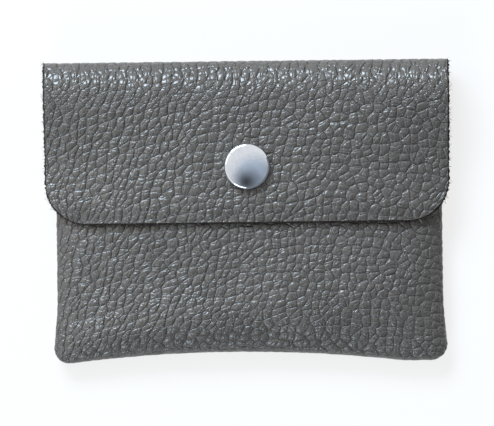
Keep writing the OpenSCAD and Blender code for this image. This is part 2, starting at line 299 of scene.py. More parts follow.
def back_face(across, along, flesh=False):
    """The grain side of the back, or its flesh side, which lies a leather's thickness above."""
    plan_x, plan_y = pouch_plan(across, along, wall_inset * rolled_at(along) if flesh else 0.0)
    x, y = drawn(plan_x, plan_y)
    if not flesh:
        return np.stack([x, y, back_height(across, along)], -1)
    highest = mix(leather_t, seam_z - leather_t - seam_gap, rolled_at(along))
    return np.stack([x, y, np.minimum(back_height(plan_x, plan_y) + leather_t, highest)], -1)


# %% The fold's and the flap's faces
crest_len = 11.5
crest_samples = 2001
hang_power = 2.4
hang_len = 25.0
flap_wave = 0.22
# The air that stays under the flap's end, and how far that end may sink to it
flap_air = 0.12
flap_sink = 0.9


def fold_face(x, angle, depth):
    """Points of the fold's back half, turned by angle from the back."""
    r = fold_r - depth
    return np.stack([x, fold_y + r * np.sin(angle), fold_r - r * np.cos(angle)], -1)


def crest_curve(depth):
    """The front half of the fold, from its crest to where the flap is level.

    The flap leaves the fold slowly, so this half is a long quarter of an ellipse. Gives the
    distance along it, and y and z there.
    """
    turn = np.linspace(0, math.pi / 2, crest_samples)
    y = top_y - crest_len * (1 - np.cos(turn))
    z = fold_r + (purse_t - fold_r) * np.sin(turn)
    normal = np.stack([np.cos(turn) / crest_len, np.sin(turn) / (purse_t - fold_r)])
    normal /= np.linalg.norm(normal, axis=0)
    return run_along(y, z), y - depth * normal[0], z - depth * normal[1]


def flap_face(across, run, depth):
    """The flap, from the crest of the fold on. It sinks at its end until it all but touches."""
    curve_run, curve_y, curve_z = crest_curve(depth)
    plan_y = np.interp(run, curve_run, curve_y) - np.maximum(0, run - curve_run[-1])
    x, y = rounded(across, plan_y, half_flap, flap_end_y, flap_corner_r, flap_corner_r)
    hang = flap_hang * (np.abs(x) / half_flap) ** hang_power
    down = ease((top_y - crest_len / 2 - y) / hang_len)
    z = np.interp(run, curve_run, curve_z) - hang * down
    z = mix(z, cap_seat_z - depth, seat_share(x, y, seat_r, flap_seat_rise))
    z = z + flap_wave * down * waves(x, y, [41, 29, 22], 3) * (1 - seat_share(x, y, seat_r, 4))
    end_y = np.full_like(x, flap_end_y)
    under = front_height((x - pouch_shift) * half_pouch / half_at(end_y), end_y, x, end_y)
    spare = np.clip(purse_t - leather_t - hang - under - flap_air, 0, flap_sink)
    z = z - spare * ease((stud_y - seat_r - y) / (stud_y - seat_r - flap_end_y))
    return np.stack([x, y, z], -1)


# %% [markdown]
# ## Patchwork
#
# A leather piece is one closed mesh: a fine grid on the grain side, a coarser one on the flesh
# side, and bands along its edges. Patchwork collects these. Beside its place, each point keeps
# where it lies on the uncut hide, so that the grain runs on from piece to piece. The hide's
# third number tells how taut the leather is, or how far it is pressed flat when it is below 0.

# %% Objects
def add_object(name, data):
    """Puts a new object into the scene."""
    item = bpy.data.objects.new(name, data)
    bpy.context.scene.collection.objects.link(item)
    return item


def mesh_object(name, points, faces):
    """A new object from points, in metres, and faces."""
    mesh = bpy.data.meshes.new(name)
    mesh.from_pydata(points, [], faces)
    return add_object(name, mesh)


# %% Patchwork
GRAIN, FLESH, CUT = 0, 1, 2


def rim(grid):
    """What a grid holds down its left side, along its base and up its right side."""
    return np.concatenate([grid[::-1, 0], grid[0, 1:], grid[1:, -1]])


def grid_normals(points):
    """Unit normals of a grid of points, on the side from which its rows run upwards."""
    across = np.gradient(points, axis=1)
    along = np.gradient(points, axis=0)
    normal = np.cross(across, along)
    return normal / np.linalg.norm(normal, axis=-1, keepdims=True)


class Patchwork:
    """The points and faces of one piece of leather, until they become its mesh."""

    def __init__(self):
        self.count = 0
        self.points = []
        self.hides = []
        self.normals = []
        self.faces = {3: [], 4: []}
        self.finishes = {3: [], 4: []}

    def lay(self, points, hide, normal=(0, 0, 0)):
        """Adds points with their places on the hide, and returns their numbers in the same layout.

        normal points out of the grain side, and is nought where no grain is raised."""
        shape = points.shape[:-1]
        size = int(np.prod(shape))
        self.points.append(points.reshape(-1, 3))
        self.hides.append(np.broadcast_to(hide, shape + (3,)).reshape(-1, 3))
        self.normals.append(np.broadcast_to(normal, shape + (3,)).reshape(-1, 3))
        numbers = np.arange(self.count, self.count + size).reshape(shape)
        self.count += size
        return numbers

    def add_faces(self, faces, finish):
        faces = np.asarray(faces).reshape(-1, np.asarray(faces).shape[-1])
        self.faces[faces.shape[1]].append(faces)
        self.finishes[faces.shape[1]].append(np.full(len(faces), finish))

    def grid(self, numbers, finish, down=False):
        corners = numbers[:-1, :-1], numbers[:-1, 1:], numbers[1:, 1:], numbers[1:, :-1]
        quads = np.stack(corners, -1)
        self.add_faces(quads[..., ::-1] if down else quads, finish)

    def two_sides(self, grain, flesh, down=False):
        """Lays the grain side and the flesh side, each from its points and its hide. Returns the
        numbers of both. down says that the grain faces down."""
        normals = grid_normals(grain[0])
        outer = self.lay(*grain, -normals if down else normals)
        inner = self.lay(*flesh)
        self.grid(outer, GRAIN, down)
        self.grid(inner, FLESH, not down)
        return outer, inner

    def band(self, upper, lower, finish):
        """Joins two lines of points. The outside is on the left when going along them."""
        self.add_faces(np.stack([upper[:-1], lower[:-1], lower[1:], upper[1:]], -1), finish)

    def taper(self, fine, coarse, finish):
        """Joins a line of points to one with half as many steps."""
        a, b, c = fine[:-2:2], fine[1:-1:2], fine[2::2]
        p, q = coarse[:-1], coarse[1:]
        corners = (a, p, b), (b, p, q), (b, q, c)
        self.add_faces(np.concatenate([np.stack(corner, -1) for corner in corners]), finish)

    def close_ends(self, rows, finish):
        """Closes both ends of a bundle of lines with a fan from its last line, and returns the
        points round each end."""
        ends = [np.array([row[k] for row in rows]) for k in (0, -1)]
        for end, order in zip(ends, ([0, 2, 1], [0, 1, 2])):
            fan = np.stack([np.full(len(end) - 2, end[-1]), end[:-2], end[1:-1]], -1)
            self.add_faces(fan[:, order], finish)
        return ends

    def build(self, name, materials, join):
        """Makes the mesh object, in metres, with its hide and normals as attributes. join lists
        lines of points where the piece meets another, and where its shading stops."""
        mesh = bpy.data.meshes.new(name)
        quads, tris = np.concatenate(self.faces[4]), np.concatenate(self.faces[3])
        corners = np.concatenate([quads.ravel(), tris.ravel()])
        sizes = np.concatenate([np.full(len(quads), 4), np.full(len(tris), 3)])
        mesh.vertices.add(self.count)
        mesh.vertices.foreach_set("co", (np.concatenate(self.points) * MM).ravel())
        mesh.loops.add(len(corners))
        mesh.loops.foreach_set("vertex_index", corners)
        mesh.polygons.add(len(sizes))
        mesh.polygons.foreach_set("loop_start", np.concatenate([[0], np.cumsum(sizes)[:-1]]))
        for material in materials:
            mesh.materials.append(material)
        finishes = np.concatenate(self.finishes[4] + self.finishes[3])
        mesh.polygons.foreach_set("material_index", finishes)
        mesh.update(calc_edges=True)
        mesh.validate()
        for key, values in (("hide", self.hides), ("outward", self.normals)):
            attribute = mesh.attributes.new(key, "FLOAT_VECTOR", "POINT")
            numbers = np.concatenate(values).astype(np.float32)
            attribute.data.foreach_set("vector", numbers.ravel())
        mesh.shade_smooth()
        ends = np.zeros(len(mesh.edges) * 2, int)
        mesh.edges.foreach_get("vertices", ends)
        on_join = np.zeros(self.count, bool)
        for line in join:
            on_join[line] = True
        sharp = mesh.attributes.new("sharp_edge", "BOOLEAN", "EDGE")
        sharp.data.foreach_set("value", on_join[ends.reshape(-1, 2)].all(1))
        return add_object(name, mesh)


# %% [markdown]
# ## Cut edges
#
# The flap and the mouth are cut and left raw. A cut edge is square, with its corners barely
# rounded by the knife and by wear, and its fibres make it slightly rough.

# %% Cut edges
edge_depths = [0.16, 0.45, 0.8, 1.1]
edge_rough = 0.22
# How much of edge_bevel is left at the flesh side
flesh_bevel_share = 0.6


def outward_from(line, normal):
    """Unit vectors that point straight out of a leather's edge."""
    outward = np.cross(np.gradient(line, axis=0), normal)
    return outward / np.linalg.norm(outward, axis=1, keepdims=True)


def cut_edge(work, outer, line, normal, coarse, hide, seed):
    """Bands from the rim of the grain side, round the cut, to the rim of the flesh side. Returns
    the points round each end."""
    draw = np.random.default_rng(seed)
    outward = outward_from(line, normal)
    rows = [outer]
    for depth in edge_depths:
        rough = draw.normal(0, edge_rough, len(line))
        rough = np.convolve(np.pad(rough, 1, mode="edge"), [0.25, 0.5, 0.25], mode="valid")
        reach = edge_bevel if depth < edge_depths[-1] else edge_bevel * flesh_bevel_share
        ring = work.lay(line + outward * (reach + rough)[:, None] - normal * depth, hide)
        work.band(rows[-1], ring, CUT)
        rows.append(ring)
    work.taper(rows[-1], coarse, CUT)
    return work.close_ends(rows + [coarse], CUT)


# %% [markdown]
# ## Shader maths
#
# A material is a graph of small nodes. Writing it as links by hand hides what it computes, so
# a Wire wraps one output, and `1 - wire * 2` adds the Math nodes itself. The same graph can sit
# in a shader or in Geometry Nodes. That is how the grain can be both a shape and a finish.

# %% Wires
def add_node(tree, kind, settings=None, sockets=None):
    """Adds a node: its settings first, then the values or wires of its sockets."""
    node = tree.nodes.new(kind)
    for key, value in (settings or {}).items():
        setattr(node, key, value)
    for key, value in (sockets or {}).items():
        if isinstance(value, Wire):
            tree.links.new(value.socket, node.inputs[key])
        else:
            node.inputs[key].default_value = value
    shown = [s for s in node.outputs if s.enabled]
    return Wire(shown[0], tree) if shown else node


def add_math(tree, operation, *values):
    return add_node(tree, "ShaderNodeMath", {"operation": operation}, dict(enumerate(values)))


class Wire:
    """One output of a node. What is reckoned with it becomes more nodes of its tree."""

    def __init__(self, socket, tree):
        self.socket = socket
        self.tree = tree

    def out(self, name):
        """Another output of the node that this wire comes from."""
        return Wire(self.socket.node.outputs[name], self.tree)

    def node(self, kind, settings=None, sockets=None):
        return add_node(self.tree, kind, settings, sockets)

    def math(self, operation, *others):
        return add_math(self.tree, operation, self, *others)

    def __add__(self, other):
        return self.math("ADD", other)

    def __sub__(self, other):
        return self.math("SUBTRACT", other)

    def __rsub__(self, other):
        return add_math(self.tree, "SUBTRACT", other, self)

    def __mul__(self, other):
        return self.math("MULTIPLY", other)

    def __truediv__(self, other):
        return self.math("DIVIDE", other)

    def __pow__(self, other):
        return self.math("POWER", other)

    __radd__ = __add__
    __rmul__ = __mul__

    def step(self, low, high):
        """0 below low, 1 above high and smooth between."""
        settings = {"interpolation_type": "SMOOTHSTEP"}
        sockets = {"Value": self, "From Min": low, "From Max": high}
        return self.node("ShaderNodeMapRange", settings, sockets)

    def to(self, low, high):
        """Runs from low to high as this wire runs from 0 to 1."""
        return self.node("ShaderNodeMapRange", {}, {"Value": self, "To Min": low, "To Max": high})

    def vector(self, operation, *others):
        sockets = dict(enumerate((self, *others)))
        return self.node("ShaderNodeVectorMath", {"operation": operation}, sockets)

    def parts(self):
        """The x, y and z of this place."""
        split = self.node("ShaderNodeSeparateXYZ", {}, {0: self})
        return [split.out(axis) for axis in "XYZ"]

    def noise(self, scale, detail, roughness=0.5):
        """Soft noise at this place, from 0 to 1."""
        sockets = {"Vector": self, "Scale": scale, "Detail": detail, "Roughness": roughness}
        return self.node("ShaderNodeTexNoise", {}, sockets)

    def colours(self, first, second):
        """From the first colour to the second as this wire runs from 0 to 1."""
        mixer = self.node("ShaderNodeMix", {"data_type": "RGBA"}, {0: self, 6: first, 7: second})
        return Wire(mixer.socket.node.outputs[2], self.tree)


# %% [markdown]
# ## The grain
#
# Drummed leather shrinks into pebbles between creases. The creases run in two families that
# cross on the slant. One flows in long lines, and the other cuts these into pebbles. A Voronoi
# pattern on a slanted lattice has both: its cells are the pebbles, and its distance to the edge
# is nought on a crease. The direction from the nearest cell's point to the next one's tells which
# family a crease belongs to. Each long line has a depth of its own, so that some stand out.

# %% The grain
pebble_len = 2.55
flow_angle = math.radians(4)
cross_angle = math.radians(78)
# How fast the long lines bend away from the middle, per millimetre
flow_bend = 0.0024
pebble_jitter = 0.74
# How far from a crease the leather begins to sink, in steps of the lattice, and how deep it gets
valley_reach = 0.38
pebble_h = 0.22


def lattice_rows():
    """Turns millimetres on the hide into steps of the slanted lattice, as two row vectors."""
    flow = [pebble_len * math.cos(flow_angle), pebble_len * math.sin(flow_angle)]
    cross = [pebble_len * math.cos(cross_angle), pebble_len * math.sin(cross_angle)]
    size = flow[0] * cross[1] - flow[1] * cross[0]
    return (cross[1] / size, -cross[0] / size, 0), (-flow[1] / size, flow[0] / size, 0)


def warped(place, scale, reach, detail=1.0):
    """Pushes places on the hide about, by up to half of reach each way."""
    noise = place.noise(scale, detail).out("Color")
    shift = noise.vector("SUBTRACT", (0.5, 0.5, 0.5)).vector("MULTIPLY", (reach, reach, 0))
    return place.vector("ADD", shift)


def cells(place, scale, jitter):
    """Distance to the nearest crease of a Voronoi pattern, how far that crease runs with the flow,
    the distance to the cell's own point, a random colour for each cell, and the places of the
    nearest two cells."""
    sockets = {"Vector": place, "Scale": scale, "Randomness": jitter}
    edge, near, far = (
        place.node("ShaderNodeTexVoronoi", {"voronoi_dimensions": "2D", "feature": kind}, sockets)
        for kind in ("DISTANCE_TO_EDGE", "F1", "F2"))
    pair = near.out("Position"), far.out("Position")
    between = pair[1].vector("SUBTRACT", pair[0]).vector("NORMALIZE")
    with_flow = between.parts()[1].math("ABSOLUTE")
    return edge, with_flow, near.out("Distance"), near.out("Color"), pair


def line_depths(pair):
    """A random depth from 0 to 1 for each long line of creases, by column and by row."""
    first = pair[0].vector("MINIMUM", pair[1]).vector("FLOOR")
    kind, settings = "ShaderNodeTexWhiteNoise", {"noise_dimensions": "1D"}
    return [first.node(kind, settings, {"W": place}) for place in first.parts()[:2]]


def grain(place, taut):
    """Distance to the nearest crease, that crease's depth from 0 to 1, how far out on its pebble
    a point lies, and a colour for each pebble.

    taut runs to 1 where the leather is stretched over the fold: there the creases that run
    along the fold open flat, and those that cross it stay and turn square to it. Below 0 it tells
    how far the leather is pressed flat, as it is beside a seam.
    """
    x = place.parts()[0]
    right = x.step(-35, 15)
    pressed = (taut * -1).math("MAXIMUM", 0.0)
    taut = taut.math("MAXIMUM", 0.0)
    bend = place.node("ShaderNodeCombineXYZ", {}, {"Y": x * x * flow_bend})
    flowing = warped(warped(place.vector("ADD", bend), 0.022, 6.0), 0.09, 2.6, 2.0)
    flow_x, flow_y, _ = flowing.parts()
    to_u, to_v = lattice_rows()
    u = flow_x * to_u[0] + flow_y * to_u[1] * (1 - taut * 0.9)
    v = flowing.vector("DOT_PRODUCT", to_v).out("Value")
    lattice = place.node("ShaderNodeCombineXYZ", {}, {"X": u, "Y": v})
    edge, with_flow, out, tint, pair = cells(lattice, 1.0, pebble_jitter)
    family = with_flow.step(0.30, 0.85)
    loose = mix(1.0 - right * 0.25, right * 0.25 + 0.75, family)
    column, row = line_depths(pair)
    loose = loose * mix(column, row, family).to(0.80, 1.20)
    tight = 1.15 - family * 0.90
    return edge, mix(loose, tight, taut) * (1 - pressed * 0.8), out, tint


def valleys(edge, depth, reach, power):
    """How far below the pebbles' tops the leather lies, from 0 on a top to depth in a crease."""
    inside = 1 - (edge / reach).math("MINIMUM", 1.0)
    return inside**power * depth


def fall_outwards(out):
    """0 on the middle of a domed pebble, and 1 at its rim."""
    return out.step(0.1, 0.8)


# %% [markdown]
# ## Raising the grain
#
# Bump alone would leave the outline smooth and the mesh bare, so the pebbles are real
# shape. A short Geometry Nodes graph reads each point's place on the hide, works out how deep
# its crease is, and pulls the point down along its normal. The result is applied to the mesh.

# %% Raising the grain
def read_attribute(tree, name):
    settings = {"data_type": "FLOAT_VECTOR"}
    return add_node(tree, "GeometryNodeInputNamedAttribute", settings, {"Name": name})


def relief_tree():
    tree = bpy.data.node_groups.new("raise_grain", "GeometryNodeTree")
    tree.interface.new_socket("Leather", in_out="INPUT", socket_type="NodeSocketGeometry")
    tree.interface.new_socket("Leather", in_out="OUTPUT", socket_type="NodeSocketGeometry")
    leather = add_node(tree, "NodeGroupInput")
    place = read_attribute(tree, "hide")
    edge, depth, out, _ = grain(place, place.parts()[2])
    sunk = valleys(edge, depth, valley_reach, 2.0) * 0.6 + fall_outwards(out) * 0.4
    scaled = {0: read_attribute(tree, "outward"), "Scale": sunk * (-pebble_h * MM)}
    offset = add_node(tree, "ShaderNodeVectorMath", {"operation": "SCALE"}, scaled)
    sockets = {"Geometry": leather, "Offset": offset}
    moved = add_node(tree, "GeometryNodeSetPosition", {}, sockets)
    add_node(tree, "NodeGroupOutput", {}, {0: moved})
    return tree


def raise_grain(piece, tree):
    """Runs the graph on a piece, and keeps what it gives as the piece's mesh."""
    modifier = piece.modifiers.new("grain", "NODES")
    modifier.node_group = tree
    bpy.context.view_layer.update()
    shaped = piece.evaluated_get(bpy.context.evaluated_depsgraph_get())
    mesh = bpy.data.meshes.new_from_object(shaped)
    piece.modifiers.clear()
    piece.data = mesh
    mesh.name = piece.name


# %% [markdown]
# ## Materials
#
# The leather is a dark taupe with a soft sheen. Its creases, and less so the hollows round them,
# are darkened with painted shade, and its pebble tops are polished by handling. The flesh side is
# napped suede, and the cut is dark with dye and darker still with painted shade. Painted images
# could hold all this, but noise and cells need no files and show no seams.
# A Bump node sharpens what the mesh is too coarse for.

# %% Helpers for materials
def new_material(name):
    material = bpy.data.materials.new(name)
    material.use_nodes = True
    material.node_tree.nodes.clear()
    return material, material.node_tree


def principled(tree, sockets):
    """The surface of a material, from the values and wires of its shader's sockets."""
    shader = add_node(tree, "ShaderNodeBsdfPrincipled", {}, sockets)
    add_node(tree, "ShaderNodeOutputMaterial", {}, {"Surface": shader})


def colour(red, green, blue):
    return (red, green, blue, 1.0)


def hide_place(tree):
    """Places on the uncut hide, in millimetres."""
    return add_node(tree, "ShaderNodeAttribute", {"attribute_name": "hide"}).out("Vector")


def object_place(tree):
    """Places in the object, in millimetres."""
    place = add_node(tree, "ShaderNodeTexCoord").out("Object")
    return place.vector("MULTIPLY", (1 / MM, 1 / MM, 1 / MM))


def bumped(height):
    """Normals that are bent by a height in millimetres."""
    return height.node("ShaderNodeBump", {}, {"Height": height * MM, "Distance": 1.0})


# %% Leather
# How far from a crease its painted shade and its rounded rim reach, in steps of the lattice
crease_shade_reach = 0.060
rim_reach = 0.17


def grain_leather():
    """Dyed and finished grain, with the pebbles' rims and domes, fine wrinkles, pores, and painted
    shade that darkens the creases and the hollows round them.
    """
    material, tree = new_material("pebbled_leather")
    place = hide_place(tree)
    pull = place.parts()[2]
    edge, depth, out, tint = grain(place, pull)
    crease = valleys(edge, depth, crease_shade_reach, 1.2)
    rounding = valleys(edge, depth, rim_reach, 2.0)
    hollow = valleys(edge, depth, valley_reach, 2.0)
    taut = pull.math("MAXIMUM", 0.0)
    stretch = place.node("ShaderNodeCombineXYZ", {}, {"X": 1.0, "Y": 1 - taut * 0.7})
    fine_place = warped(place.vector("MULTIPLY", stretch), 0.5, 1.4, 2.0)
    fine_edge, fine_flow, *_ = cells(fine_place, 0.64, 1.0)
    wrinkle = valleys(fine_edge, 0.55 + fine_flow * 0.45 + taut * 0.5, 0.17, 1.1)
    pores = place.noise(1.8, 2.0)
    height = rounding * -0.12 - crease * 0.06 - fall_outwards(out) * 0.06
    height = height - wrinkle * 0.10 + pores * 0.04
    cloud = place.noise(0.07, 3.0)
    speck = place.noise(1.3, 4.0)
    own_tone = tint.node("ShaderNodeSeparateColor", {}, {0: tint})
    tone = cloud.step(0.3, 0.7) * 0.5 + speck * 0.3 + own_tone * 0.2
    top = tone.colours(colour(0.084, 0.075, 0.066), colour(0.113, 0.100, 0.088))
    principled(tree, {
        # Darker in the creases and, less, in the hollows round them: painted shade
        "Base Color": (crease * 0.62 + hollow * 0.15).colours(top, colour(0.026, 0.019, 0.016)),
        "Roughness": crease.to(0.27, 0.60) + speck.to(-0.04, 0.06) - pull * 0.05,
        "Specular IOR Level": 0.62,
        "Normal": bumped(height),
    })
    return material


def flesh_leather():
    """The napped side of the leather, with a cloudy tone."""
    material, tree = new_material("suede_flesh")
    place = hide_place(tree)
    nap = place.noise(2.2, 6.0, 0.7)
    tone = (nap * 0.55 + place.noise(0.12, 2.0) * 0.45).step(0.3, 0.7)
    principled(tree, {
        "Base Color": tone.colours(colour(0.105, 0.092, 0.082), colour(0.20, 0.18, 0.16)),
        "Roughness": 0.95,
        "Specular IOR Level": 0.15,
        "Sheen Weight": 0.35,
        "Sheen Roughness": 0.5,
        "Normal": bumped(nap * 0.10),
    })
    return material


def cut_leather():
    """Packed fibre, dark with dye and paler where it is torn. Its colours are darkened further with
    painted shade for the shadow along the narrow edge.
    """
    material, tree = new_material("cut_edge")
    fibre = hide_place(tree).noise(3.0, 5.0, 0.75)
    tone = fibre.step(0.35, 0.75)
    principled(tree, {
        # Both colours are darker than the dye alone: painted shade for the shadow along the edge
        "Base Color": tone.colours(colour(0.014, 0.010, 0.008), colour(0.072, 0.058, 0.048)),
        "Roughness": 0.9,
        "Specular IOR Level": 0.2,
        "Normal": bumped(fibre * 0.12),
    })
    return material


leather_materials = [grain_leather(), flesh_leather(), cut_leather()]
print("leather finishes:", ", ".join(material.name for material in leather_materials))

# %% [markdown]
# ## Fibres on the cut edge
#
# A knife leaves a fringe of short fibres along the flap's edge, because the flesh side is never
# sealed. Hair curves would do, but they don't survive an export. So each fibre is a thin
# tapering three-sided tube, bent down and away from the edge.

# %% Fibres
fibre_count = 800
fibre_steps = 5
fibre_corners = np.radians([90, 210, 330])
fibre_depths = (0.15, 1.05)
fibre_thickness = (0.03, 0.075)
fibre_longest = 1.2
# How far a fibre's root lies inside the edge, how far its tip droops and how much it tapers, as
# shares of the fibre's length or thickness
fibre_root = 0.15
fibre_droop = 0.35
fibre_taper = 0.75


def make_fibres(edge_points, outward, seed):
    """A fringe along a line of points, as one mesh."""
    draw = np.random.default_rng(seed)
    up = np.array([0, 0, 1])
    run = np.concatenate([[0], np.cumsum(np.linalg.norm(np.diff(edge_points, axis=0), axis=1))])
    at = np.sort(draw.uniform(run[0], run[-1], fibre_count))
    root, out = (np.stack([np.interp(at, run, values[:, k]) for k in range(3)], -1)
                 for values in (edge_points, outward))
    along = np.cross(out, up)
    root[:, 2] -= draw.uniform(*fibre_depths, fibre_count)
    length = np.minimum(draw.gamma(3.0, 0.20, fibre_count), fibre_longest)[:, None]
    thick = draw.uniform(*fibre_thickness, fibre_count)
    lean = draw.normal(0, 0.8, fibre_count)[:, None]
    curl = draw.normal(0, 0.5, fibre_count)[:, None]
    points = []
    for t in np.linspace(0, 1, fibre_steps):
        way = out * t + along * (lean * t + curl * t * t) - up * fibre_droop * t * t
        centre = root - out * fibre_root + way * length
        width = (thick * (1 - fibre_taper * t))[:, None]
        for c in fibre_corners:
            points.append(centre + along * width * math.cos(c) + up * width * math.sin(c))
    points = np.stack(points, 1).reshape(-1, 3) * MM
    faces = []
    size = 3 * fibre_steps
    for base in range(0, fibre_count * size, size):
        for ring in range(base, base + size - 3, 3):
            for c in range(3):
                a, b = ring + c, ring + (c + 1) % 3
                faces.append((a, a + 3, b + 3, b))
        tip = base + size - 1
        faces += [(base, base + 1, base + 2), (tip, tip - 1, tip - 2)]
    piece = mesh_object("edge_fibres", points.tolist(), faces)
    piece.data.shade_smooth()
    return piece


def fibre_finish():
    material, tree = new_material("leather_fibre")
    patch = object_place(tree).noise(0.8, 2.0).step(0.40, 0.62)
    principled(tree, {
        "Base Color": patch.colours(colour(0.018, 0.014, 0.011), colour(0.11, 0.095, 0.08)),
        "Roughness": 0.75,
        "Specular IOR Level": 0.3,
    })
    return material


# %% [markdown]
# ## The flap
#
# The flap begins at the crest of the fold, half way round it, where the back's mesh ends.
# Both meshes share the same columns there, so the join doesn't show.

# %% The flap
columns = 328
flap_rows = 164
tautness_len = 9.0


def taut_at(beyond_fold):
    """How taut the grain is, from 1 round the fold to 0 some way past it."""
    return 1 - ease(beyond_fold / tautness_len)


def make_flap():
    """The flap and its fibres, and the size that the flap was cut to."""
    work = Patchwork()
    crest_run = crest_curve(0)[0][-1]
    length = crest_run + top_y - crest_len - flap_end_y

    def layer(column_count, row_count, depth):
        across, run = np.meshgrid(np.linspace(-half_flap, half_flap, column_count + 1),
                                  np.linspace(length, 0, row_count + 1))
        hide = np.stack([across, -run, taut_at(run - crest_run / 2)], -1)
        return flap_face(across, run, depth), hide

    grain_side = layer(columns, flap_rows, 0)
    flesh_side = layer(columns // 2, flap_rows // 2, leather_t)
    numbers, under = work.two_sides(grain_side, flesh_side)
    line, hide = map(rim, grain_side)
    normal = rim(grid_normals(grain_side[0]))
    ends = cut_edge(work, rim(numbers), line, normal, rim(under), hide, 21)
    work.taper(numbers[-1][::-1], under[-1][::-1], CUT)
    outward = outward_from(line, normal)
    fibres = make_fibres(line + outward * edge_bevel, outward, 31)
    size = 2 * (half_flap + edge_bevel), length + edge_bevel
    join = [numbers[-1], under[-1]] + ends
    return work.build("leather_flap", leather_materials, join), size, fibres


# %% [markdown]
# ## The front
#
# The front is sewn to the back face to face and then turned. So at its sides and base the
# grain rolls over the seam, and a strip of it, the allowance, runs back inside. Only its mouth
# is cut.

# %% Turned edges
# The lines that an edge follows as it turns in: how far in each lies, and how far off the seam
tucks = [(0.12, 0.24), (0.5, seam_gap), (allowance_w, seam_gap), (allowance_w, leather_t)]
tuck_finishes = [GRAIN, GRAIN, GRAIN, CUT]
smallest_corner_r = 0.6
profile_samples = 4001


def pouch_rim(across, along, inset, z):
    """A line round the pouch's sides and base, inset from its edge, at height z."""
    r = max(smallest_corner_r, pouch_corner_r - inset)
    x, y = drawn(*rounded(across, along, half_pouch, base_y, pouch_corner_r, r))
    return np.stack([x, y, np.broadcast_to(z, x.shape)], -1)


def even_half(profile, low, high, count):
    """Positions from low to high at equal steps along a profile, and the lengths run."""
    places = high - (high - low) * (1 - np.linspace(0, 1, profile_samples)) ** 2
    return equal_steps(places, profile(places), count)


def mirrored(values, runs):
    """Extends half a run of columns to both sides of the middle."""
    return np.concatenate([-values[:0:-1], values]), np.concatenate([-runs[:0:-1], runs])


def hide_half(hide):
    """Half of the width of a piece, as it lay on the uncut hide."""
    return float(np.abs(hide[..., 0]).max())


# %% The front
front_rows = 214
pressed_len = 5.0
# The front is cut from another part of the hide than the back
front_hide_y = 300


def make_front():
    """The front, and the size that it was cut to."""
    work = Patchwork()

    def side(x):
        return mix(seam_z, crown_z, swell(x / half_pouch))

    def fall(down):
        return mix(seam_z, crown_z, swell(np.maximum(0, base_y + base_fall + down) / base_fall))

    def layer(column_count, row_count, depth):
        x, a = mirrored(*even_half(side, 0, half_pouch, column_count // 2))
        down, run = even_half(fall, -mouth_y, -base_y, row_count)
        across, along = np.meshgrid(x, -down[::-1])
        hide_a, hide_s = np.meshgrid(a, front_hide_y - run[::-1])
        pressed = 1 - ease((run[-1] - run[::-1]) / pressed_len)
        hide_press = np.broadcast_to(-pressed[:, None], hide_a.shape)
        hide = np.stack([hide_a, hide_s, hide_press], -1)
        return front_face(across, along, depth > 0), hide, across, along

    outer, hide, across, along = layer(columns, front_rows, 0)
    flesh_side = layer(columns // 2, front_rows // 2, leather_t)[:2]
    numbers, under = work.two_sides((outer, hide), flesh_side)
    rings = [work.lay(pouch_rim(rim(across), rim(along), inset, seam_z + z), rim(hide))
             for inset, z in tucks]
    rows = [rim(numbers), *rings, rim(under)]
    for upper, lower, finish in zip(rows, rings, tuck_finishes):
        work.band(upper, lower, finish)
    work.taper(rows[-2], rows[-1], FLESH)
    ends = work.close_ends(rows, CUT)
    mouth, normal, mouth_hide = (
        values[-1][::-1] for values in (outer, grid_normals(outer), hide))
    ends += cut_edge(
        work, numbers[-1][::-1], mouth, normal, under[-1][::-1], mouth_hide, 22)
    size = 2 * (hide_half(hide) + allowance_w), np.ptp(hide[..., 1]) + allowance_w
    return work.build("leather_front", leather_materials, ends), size


# %% [markdown]
# ## The back
#
# The back lies on the table. Its grain faces down, its edges roll up to the seam, and above the
# mouth it widens into the fold. There its edge isn't turned in but raw, as the flap's is.

# %% The back
back_rows = 232
arc_rows = 28
# How deep each line of the raw edge lies below the grain
raw_depths = [0.14, 0.4, 0.6, 0.9]


